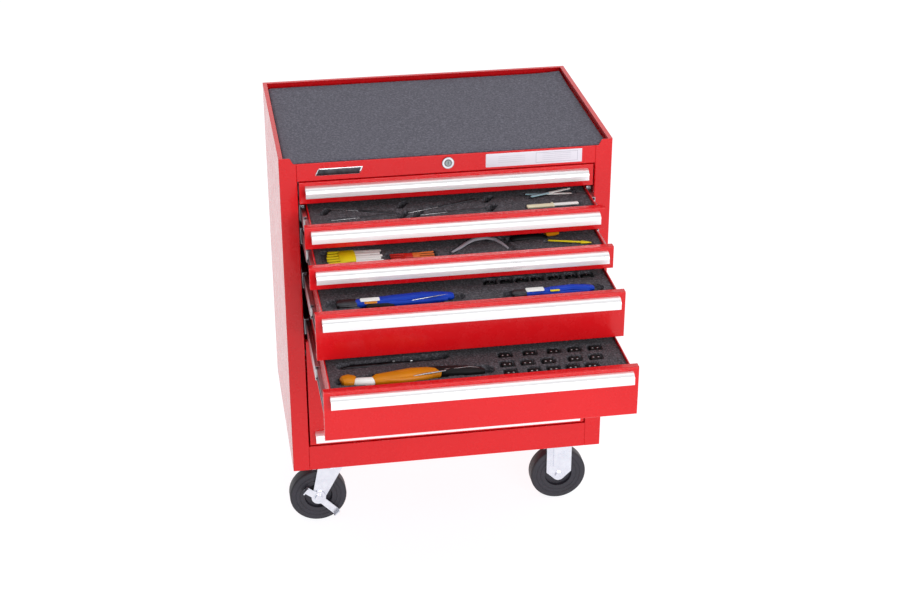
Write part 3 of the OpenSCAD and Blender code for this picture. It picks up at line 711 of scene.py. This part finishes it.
# drawer 3: bundles of plastic tools, pliers and a gauge
d3 = Drawer(3)
d3.well(-228, 56, 48, 34, 8, 6)
d3.well(-98, 45, 50, 16, 8, 6)
d3.slot_line(-16, 46, 36, 98, 7, 5)
d3.slot_line(36, 98, 92, 92, 8, 5)
d3.slot_line(92, 92, 106, 40, 7, 5)
d3.slot_line(112, 84, 200, 98, 9, 9)
d3.slot_line(180, 64, 266, 42, 6, 7)
blades = []
for count in range(5):
    left = -266 + abs(count - 1.5) * 2
    ends = (left, 33 + count * 13, -226, 36 + count * 12)
    blades.append(bar(*ends, 3.8, 1.6, -1.2, end=1.6))
blades.append(bar(-240, 60, -207, 60, 27, 2.6, -0.8, end=2))
d3.thing("insertion_tools_yellow", YELLOW, blades)
blades = []
for count in range(5):
    odd = count % 2
    ends = (-209, 35 + 11.5 * count, -154 - odd * 4, 31 + 11.5 * count)
    blades.append(bar(*ends, 5.2, 1.5, -1.0 + odd * 0.5, end=1.2))
d3.thing("insertion_tools_white", WHITE, blades)
tines = []
for count in range(3):
    ends = (-140, 33 + 9 * count, -104, 37 + 7 * count)
    tines.append(bar(*ends, 2.3, 1.4, -1 + count * 0.6, end=1.5))
tines.append(bar(-112, 44, -94, 44, 10.5, 2.2, -0.6, end=2))
d3.thing("insertion_tools_red", RED_PLASTIC, tines)
tines = []
for count in range(3):
    ends = (-88, 37 + 7 * count, -52, 33 + 10 * count)
    tines.append(bar(*ends, 2.3, 1.2, -1.0 + count * 0.6, end=1.5))
tines.append(bar(-96, 44, -82, 44, 11, 2.2, -0.6, end=2))
d3.thing("insertion_tools_orange", ORANGE, tines)
d3.thing(
    "pliers_arms",
    GREY_GRIP,
    [
        taper(
            [
                (-16, 46, -1, 2, 1.6),
                (0, 58, 0.5, 3.6, 2.4),
                (18, 78, 1.0, 4.4, 2.8),
                (34, 92, 1.5, 5.2, 3.0),
                (52, 98, 2, 6.5, 3.2),
            ],
            12,
            0.4,
        ),
        taper(
            [
                (48, 97, 2, 6.5, 3.2),
                (64, 98, 1.5, 5.0, 3.0),
                (80, 88, 1.0, 4.2, 2.6),
                (90, 66, 0.5, 3.6, 2.4),
                (98, 46, -1, 2.2, 1.6),
            ],
            12,
            0.4,
        ),
    ],
)
d3.thing(
    "gauge_handle",
    BLACK,
    [
        taper(
            [
                (112, 84, -2, 6, 4),
                (118, 85, 0, 10, 6),
                (150, 88, 0, 9, 6),
                (172, 86, 0, 10, 6),
                (186, 80, -1.5, 7, 4),
            ],
            14,
            0.4,
        )
    ],
)
d3.thing("gauge_block", AMBER, [bar(184, 101, 214, 104, 10, 4.6, 0.4, end=2)])
d3.thing(
    "gauge_shaft",
    YELLOW,
    [
        bar(184, 66, 250, 47, 2.1, 1.8, 0.6, end=2, square=0.2),
        taper(
            [
                (246, 48, 0.6, 1.6, 1.6),
                (249, 47, 0.6, 6.0, 2.2),
                (258, 44.5, 0.6, 3.6, 2.0),
                (268, 41.5, 0.6, 0.8, 1.0),
            ],
            12,
            0.2,
        ),
    ],
)
d3.close()

# drawer 4: two crimping tools and a row of dies
d4 = Drawer(4)
d4.slot_line(-262, 56, -205, 58, 17, 10)
d4.slot_line(-205, 58, -22, 52, 15, 10)
d4.slot_line(-205, 40, -60, 36, 9, 9)
d4.slot_line(82, 42, 256, 46, 14, 10)
for x in (53, 86, 117, 149, 184, 219, 250):
    d4.well(x, 106, 13, 12, 18, 3)
    d4.thing(f"die_{x}", BLACK, [bar(x - 9, 108, x + 9, 108, 6.5, 4.5, -6.5, end=1.2)])
    pin = bar(x - 1.1, 106, x + 1.1, 106, 2.6, 1.6, -0.6, end=0.5, square=0)
    d4.thing(f"die_pin_{x}", STEEL, [pin])


def crimper(drawer, label, x0, x1, y, girth, tall=7.0):
    """A hand crimping tool that lies on its side: a head, and a body with two grips."""
    run = x1 - x0
    head = [
        (x0, y, -1, girth * 0.55, 4.5),
        (x0 + run * 0.02, y, -1, girth * 0.8, 6),
        (x0 + run * 0.13, y, -1, girth * 0.92, 6.5),
        (x0 + run * 0.17, y, -1, girth * 0.8, 6),
    ]
    main_grip = [
        (x0 + run * 0.15, y - 2, -1, girth * 0.55, tall * 0.8),
        (x0 + run * 0.18, y - 1, -0.5, girth * 0.7, tall * 0.9),
        (x0 + run * 0.36, y + 1, -0.5, girth * 0.78, tall * 0.9),
        (x0 + run * 0.5, y + 4, 0, girth * 0.72, tall),
        (x0 + run * 0.74, y + 8, 0, girth * 0.7, tall),
        (x0 + run * 0.9, y + 5, -0.5, girth * 0.74, tall * 0.9),
        (x0 + run * 0.98, y + 3, -1, girth * 0.62, tall * 0.8),
        (x1, y + 3, -1.5, girth * 0.5, tall * 0.6),
    ]
    lower_grip = [
        (x0 + run * 0.36, y - girth * 0.5, -1.5, girth * 0.3, tall * 0.7),
        (x0 + run * 0.5, y - girth * 0.72, -1.5, girth * 0.32, tall * 0.75),
        (x0 + run * 0.76, y - girth * 0.66, -1.5, girth * 0.3, tall * 0.75),
        (x0 + run * 0.94, y - girth * 0.5, -2, girth * 0.2, tall * 0.5),
    ]
    drawer.thing(f"{label}_head", DARK_STEEL, [taper(head, 16, 0.55)])
    drawer.thing(f"{label}_body", BLUE, [taper(main_grip, 18, 0.45), taper(lower_grip, 14, 0.4)])


crimper(d4, "crimper_large", -258, -28, 55, 17)
crimper(d4, "crimper_small", 86, 251, 43, 13, 6.0)
d4.thing("crimper_tag_white", WHITE, [bar(-212, 54, -174, 54, 7.5, 0.7, 6.4, end=1.2)])
d4.thing("crimper_tag_yellow", AMBER, [bar(-205, 42, -180, 42, 4.2, 0.7, 5.6, end=0.8)])
d4.thing(
    "crimper_spring",
    STEEL,
    [
        taper(
            [
                (-112, 42, 3.5, 0.5, 0.8),
                (-90, 44, 5.2, 0.9, 0.8),
                (-60, 50, 5.6, 1.1, 0.8),
                (-34, 57, 4.0, 0.5, 0.6),
            ],
            10,
            0.1,
        )
    ],
)
d4.thing(
    "crimper_grip",
    BLACK,
    [
        taper(
            [
                (-202, 36, -1, 3.5, 3.5),
                (-196, 36, -0.5, 6, 5),
                (-160, 35, -0.5, 6, 5),
                (-148, 35, -1.5, 3, 3),
            ],
            14,
            0.3,
        )
    ],
)
d4.thing("small_tag_white", WHITE, [bar(114, 45, 150, 45, 8.5, 0.7, 5.8, end=1.2)])
d4.thing("small_tag_yellow", YELLOW, [bar(161, 36, 180, 36, 3.4, 0.8, 5.0, end=0.8)])
d4.close()

# drawer 5: the amber pistol tool, its long slot and three rows of dies
d5 = Drawer(5)
d5.slot_line(-255, 112, -60, 122, 12, 24)
d5.slot_line(-262, 52, -205, 46, 14, 12)
d5.slot_line(-205, 48, -70, 60, 22, 12)
d5.slot_line(-74, 58, 14, 54, 16, 14)
rows = {106: (62, 111, 159, 200, 242), 69: (59, 99, 140, 193, 235), 36: (60, 106, 144, 182, 220)}
for y, places in rows.items():
    for x in places:
        d5.well(x, y, 13.5, 10.5, 16, 2.5)
        block = bar(x - 10.5, y, x + 10.5, y, 7.5, 5, -6.0, end=1.5)
        ridge = bar(x - 10.5, y + 5, x + 10.5, y + 5, 2.0, 2.2, -1.8, end=1.5)
        d5.thing(f"die_{y}_{x}", BLACK, [block, ridge])
        pins = []
        for side in (-1, 1):
            ends = (x + side * 5 - 1.7, y - 1.5, x + side * 5 + 1.7, y - 1.5)
            pins.append(bar(*ends, 1.6, 1.2, -0.8, end=0.8, square=0))
        d5.thing(f"die_pins_{y}_{x}", STEEL, pins)
d5.thing(
    "extractor",
    DARK_STEEL,
    [
        taper(
            [
                (-255, 117, -9, 3, 3),
                (-240, 117, -8, 6, 5),
                (-165, 118, -8, 6.5, 5),
                (-150, 118, -8, 4, 4),
                (-60, 118, -9, 2.4, 2.4),
            ],
            14,
            0.1,
        )
    ],
)
studs = [
    bar(-158, 122, -153, 122, 2.4, 2.0, -3.4, end=1, square=0),
    bar(-123, 121, -118, 121, 2.2, 2.0, -5.0, end=1, square=0),
]
d5.thing("extractor_studs", STEEL, studs)
d5.thing(
    "gun_knob",
    AMBER,
    [
        taper(
            [
                (-265, 54, -3, 9, 6),
                (-261, 55, -2, 14, 9),
                (-252, 55, -1, 16, 9.5),
                (-242, 53, -2, 14, 9),
                (-238, 52, -2, 11, 8),
            ],
            20,
            0.35,
        )
    ],
)
d5.thing(
    "gun_collar",
    WHITE,
    [
        taper(
            [
                (-240, 49, -3, 8, 6.5),
                (-236, 48, -2, 10.5, 8),
                (-208, 45, -2, 11.5, 8.5),
                (-203, 45, -3, 10, 8),
            ],
            20,
            0.1,
        )
    ],
)
d5.thing(
    "gun_body",
    AMBER,
    [
        taper(
            [
                (-204, 46, -2, 11, 8),
                (-196, 48, -1, 15, 9.5),
                (-160, 52, -1, 18, 10),
                (-128, 57, -1, 20, 10),
                (-96, 60, -1.5, 16, 9),
                (-78, 58, -2, 11, 8),
                (-72, 57, -3, 8, 6.5),
            ],
            20,
            0.35,
        ),
        taper(
            [
                (-186, 38, 0, 3, 8),
                (-150, 34, 0, 4.5, 7.5),
                (-112, 38, 0, 4.5, 7),
                (-92, 44, -1, 3, 6),
            ],
            14,
            0.3,
        ),
    ],
)
d5.thing(
    "gun_tip",
    BLACK,
    [
        taper(
            [
                (-92, 68, -3, 7, 6),
                (-78, 64, -1, 12, 8),
                (-50, 60, -1, 13.5, 8.5),
                (-20, 57, -1.5, 12.5, 8),
                (4, 55, -3, 9, 6.5),
                (12, 55, -4.5, 5, 4),
            ],
            18,
            0.3,
        )
    ],
)
d5.thing(
    "gun_trigger",
    STEEL,
    [
        taper(
            [
                (-128, 40, 6, 1.2, 1.0),
                (-108, 42, 7.4, 2.2, 1.4),
                (-84, 47, 6.6, 2.4, 1.4),
                (-64, 52, 5.6, 1.4, 1.0),
            ],
            12,
            0.1,
        )
    ],
)
d5.thing(
    "gun_wire",
    STEEL,
    [
        taper(
            [
                (-66, 56, 6.4, 0.6, 0.6),
                (-40, 56, 6.6, 0.9, 0.7),
                (-16, 59, 6.0, 0.9, 0.7),
                (2, 57, 3.4, 0.5, 0.5),
            ],
            10,
            0.0,
        )
    ],
)
d5.close()


# ---------------------------------------------------------------- top mat

mat_low, mat_high = corners("top_mat")
CURL_HEIGHT = 0.004
CURL_REACH = 0.07


def curl(px, py):
    """The back right corner lifts a little where the mat has been rolled."""
    from_corner = math.hypot((mat_high.x - mat_low.x) / 2 - px, (mat_high.y - mat_low.y) / 2 - py)
    return CURL_HEIGHT * max(0.0, 1 - from_corner / CURL_REACH) ** 2


mat_inset = Vector((0.0015, 0.0015, 0))
top_mat = cushion(
    "work_mat",
    mat_low + mat_inset,
    mat_high - mat_inset,
    [],
    0.0035,
    "root",
    MAT,
    round_edge=0.0022,
    swell=0.0011,
    lift=curl,
)
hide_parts("top_mat")


# ----------------------------------------------------------------- wheels


def both_sides(half):
    """An outline of (radius, along) points and its mirror image in the wheel's middle plane."""
    return half + [(radius, -along) for radius, along in reversed(half)]


FACE = -16.0  # a wheel's side face, from its middle plane, in millimetres
SHOULDER = 4.0  # radius of the tread's edge
hub = [(13.2, -13.0), (16.0, -13.0), (16.0, -9.0), (30.0, -9.0), (31.2, -15.6), (33.0, FACE)]
grooves = []
for ring in (41.0, 50.0):
    grooves += [(ring - 1.4, FACE), (ring - 0.6, -15.3), (ring + 0.6, -15.3), (ring + 1.4, FACE)]
shoulder = []
for step in range(6):
    turn = math.radians(-90 + 90 * step / 5)
    shoulder.append((59.3 + SHOULDER * math.cos(turn), -11.8 + SHOULDER * math.sin(turn)))
TYRE = both_sides(hub + grooves + shoulder)
BEARING = both_sides([(6.3, -17), (9, -17), (9.6, -16.4), (9.6, -15), (13, -15), (13.1, -12)])

for end in ("front", "rear"):
    for side in ("left", "right"):
        node = f"wheel_{end}_{side}"
        low, high = corners(node)
        centre = (low + high) / 2
        bm = bmesh.new()
        lathe(bm, TYRE, centre, steps=96)
        rubber = wheel_rubber(f"rubber_{end}_{side}", centre)
        tyre = build(f"tyre_{end}_{side}", bm, rubber, node)
        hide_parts(node)
        bm = bmesh.new()
        lathe(bm, BEARING, centre, steps=48)
        build(f"bearing_{end}_{side}", bm, ZINC, node)


# ---------------------------------------------------------- label and badge

rail_low, rail_high = corners("top_rail")
middle_x = (rail_low.x + rail_high.x) / 2
LABEL = (78, 279, 4.4, 33.6)


def face_plate(name, x0, x1, z0, z1, thick, material, slot, slant=0.0, radius=0.0012):
    """A thin plate on the top rail's face. x0, x1, z0 and z1 are millimetres from the rail's middle
    and its lower edge."""
    bm = bmesh.new()
    outline = rounded(x0 * MM, z0 * MM, x1 * MM, z1 * MM, radius)
    outline = [(x + slant * (z - z0 * MM), z) for x, z in outline]
    slab(bm, outline, 0.0, thick, edge=min(0.0003, thick * 0.4))
    turn = Matrix.Rotation(math.radians(90), 4, "X")
    move = Matrix.Translation((middle_x, rail_low.y, rail_low.z))
    bmesh.ops.transform(bm, matrix=move @ turn, verts=bm.verts)
    return build(name, bm, material, "root")


def between(value, low, high):
    return (value > low) * (value < high)


def label_paper():
    """Glossy paper with a thin frame at the right and two columns of faint rules, no lettering."""
    f = Finish("label_paper")
    across = (f.axis("X") - middle_x) / MM
    up = (f.axis("Z") - rail_low.z) / MM
    grain = f.noise(900, 3.0)
    box = between(across, 182, 270) * between(up, 8.0, 30.0)
    inner = between(across, 183, 269) * between(up, 9.0, 29.0)
    columns = between(across, 104, 160) + between(across, 196, 256)
    rules = (f.sine(up * 1.5) > 0.72) * columns * between(up, 10, 27)
    ink = f.ramp((box - inner) * 0.5 + rules * 0.32, 0, 1)
    base = f.mix(ink, paint(226, 222, 232), paint(120, 122, 140))
    return f.surface(base, 0.34, height=grain, depth=0.00004, strength=0.3, coat_weight=0.2)


BADGE_SLANT = 0.45
badge = (-271, -180, 10.0, 25.0, 0.0011)
badge_field = (-268.6, -182.4, 11.6, 23.4, 0.0013)
face_plate("info_label", *LABEL, 0.00025, label_paper(), "pull")
face_plate("name_badge", *badge, CHROME, "lock", slant=BADGE_SLANT, radius=0.0026)
face_plate("name_badge_field", *badge_field, DARK_STEEL, "lock", slant=BADGE_SLANT, radius=0.002)


# ---------------------------------------------------------- slide details

BALL_RADIUS = 0.0022
BALL_PITCH = 0.0105
BALL_LEVEL = 0.0035  # from a member's upper or lower edge
BALL_DEPTH = 0.0046  # from a member's outer face
CAGE = ((0.014, 0.0009), (0.016, 0.0014), (0.108, 0.0014), (0.110, 0.0009))
BUMPER = ((-0.0012, 0.8), (-0.0004, 1.0), (0.010, 1.0), (0.0114, 0.8))

for number in range(1, 6):
    body = f"drawer_{number}_slides"
    low, high = corners(f"drawer_{number}_mid_slides")
    levels = (low.z + BALL_LEVEL, high.z - BALL_LEVEL)
    middle = (low.z + high.z) / 2
    for side, edge_x, inward in (("left", low.x, 1), ("right", high.x, -1)):
        x = edge_x + inward * BALL_DEPTH
        bm = bmesh.new()
        for level in levels:
            for step in range(9):
                spot = Matrix.Translation((x, low.y + 0.02 + step * BALL_PITCH, level))
                bmesh.ops.create_uvsphere(
                    bm, u_segments=8, v_segments=6, radius=BALL_RADIUS, matrix=spot
                )
        build(f"slide_balls_{number}_{side}", bm, CHROME, body)
        bm = bmesh.new()
        for level in levels:
            rings = [(Vector((x, low.y + y, level)), wide, 0.0011) for y, wide in CAGE]
            loft(bm, rings, 12, 0.7)
        build(f"ball_cage_{number}_{side}", bm, ZINC, body)
        bm = bmesh.new()
        x = edge_x + inward * 0.0022
        rings = []
        for y, share in BUMPER:
            rings.append((Vector((x, low.y + y, middle)), 0.0018 * share, 0.0095 * share))
        loft(bm, rings, 16, 0.8)
        build(f"slide_bumper_{number}_{side}", bm, WHITE, body)


# ------------------------------------------------------------------- stage

FLOOR_GAP = 0.0002  # below the wheels

bm = bmesh.new()
bmesh.ops.create_grid(bm, x_segments=2, y_segments=2, size=14.0)
floor_mesh = bpy.data.meshes.new("floor")
bm.to_mesh(floor_mesh)
bm.free()
floor = bpy.data.objects.new("floor", floor_mesh)
floor.location.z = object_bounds()[0][2] - FLOOR_GAP
bpy.context.scene.collection.objects.link(floor)
f = Finish("floor_white")
floor_base = f.mix(f.noise(3.0, 2.0), (0.24, 0.235, 0.25, 1), (0.25, 0.245, 0.26, 1))
floor_mesh.materials.append(
    f.surface(
        floor_base,
        0.6,
        specular_ior_level=0.1,
        emission_color=(0.97, 0.985, 1, 1),
        emission_strength=0.9,
    )
)

# the studio is white, and dimmer behind the camera and to the chest's left
world = bpy.data.worlds.new("studio")
bpy.context.scene.world = world
world.use_nodes = True
tree = world.node_tree
toward = tree.nodes.new("ShaderNodeTexCoord")
split = tree.nodes.new("ShaderNodeSeparateXYZ")
tree.links.new(toward.outputs["Generated"], split.inputs[0])
glows = []
for axis, far, near, dim in (("Y", -0.7, 0.25, 0.5), ("X", -0.85, -0.05, 0.35)):
    glow = tree.nodes.new("ShaderNodeMapRange")
    glow.interpolation_type = "SMOOTHSTEP"
    for key, value in {"From Min": far, "From Max": near, "To Min": dim, "To Max": 1.0}.items():
        glow.inputs[key].default_value = value
    tree.links.new(split.outputs[axis], glow.inputs["Value"])
    glows.append(glow)
both = tree.nodes.new("ShaderNodeMath")
both.operation = "MULTIPLY"
for socket, glow in zip(both.inputs, glows):
    tree.links.new(glow.outputs["Result"], socket)
tree.links.new(both.outputs[0], tree.nodes["Background"].inputs["Strength"])
tree.nodes["Background"].inputs["Color"].default_value = (1.0, 0.995, 1.0, 1.0)


def soft_box(name, place, aim, size, power, tint=(1.0, 1.0, 1.0)):
    light = bpy.data.lights.new(name, "AREA")
    light.shape = "RECTANGLE"
    light.size, light.size_y = size
    light.energy = power
    light.color = tint
    lamp = bpy.data.objects.new(name, light)
    lamp.location = place
    lamp.rotation_euler = (Vector(aim) - Vector(place)).to_track_quat("-Z", "Y").to_euler()
    bpy.context.scene.collection.objects.link(lamp)


soft_box("key", (0.8, -3.4, 1.7), (0, -0.1, 0.5), (2.4, 1.6), 62)
soft_box("top", (-0.3, 0.4, 3.2), (0, 0.1, 0.8), (2.6, 2.2), 8)
soft_box("fill", (-2.9, 0.4, 1.0), (0, 0.1, 0.5), (2.0, 2.0), 1, (0.93, 0.92, 1.0))

LENS = 68.76
SENSOR = 36.0
SHIFT = (-0.00604, -0.00156)
CAMERA_PLACE = (-0.5211, -3.2135, 2.1837)
LOOKS_DOWN = 26.761  # degrees below level
LOOKS_RIGHT = 9.603  # degrees from straight back

camera_data = bpy.data.cameras.new("camera")
camera_data.lens = LENS
camera_data.sensor_width = SENSOR
camera_data.shift_x, camera_data.shift_y = SHIFT
camera_data.clip_end = 100.0
camera = bpy.data.objects.new("camera", camera_data)
camera.location = CAMERA_PLACE
camera.rotation_euler = (math.radians(90 - LOOKS_DOWN), 0.0, math.radians(-LOOKS_RIGHT))
bpy.context.scene.collection.objects.link(camera)
bpy.context.scene.camera = camera
bpy.context.scene.view_settings.view_transform = "Standard"
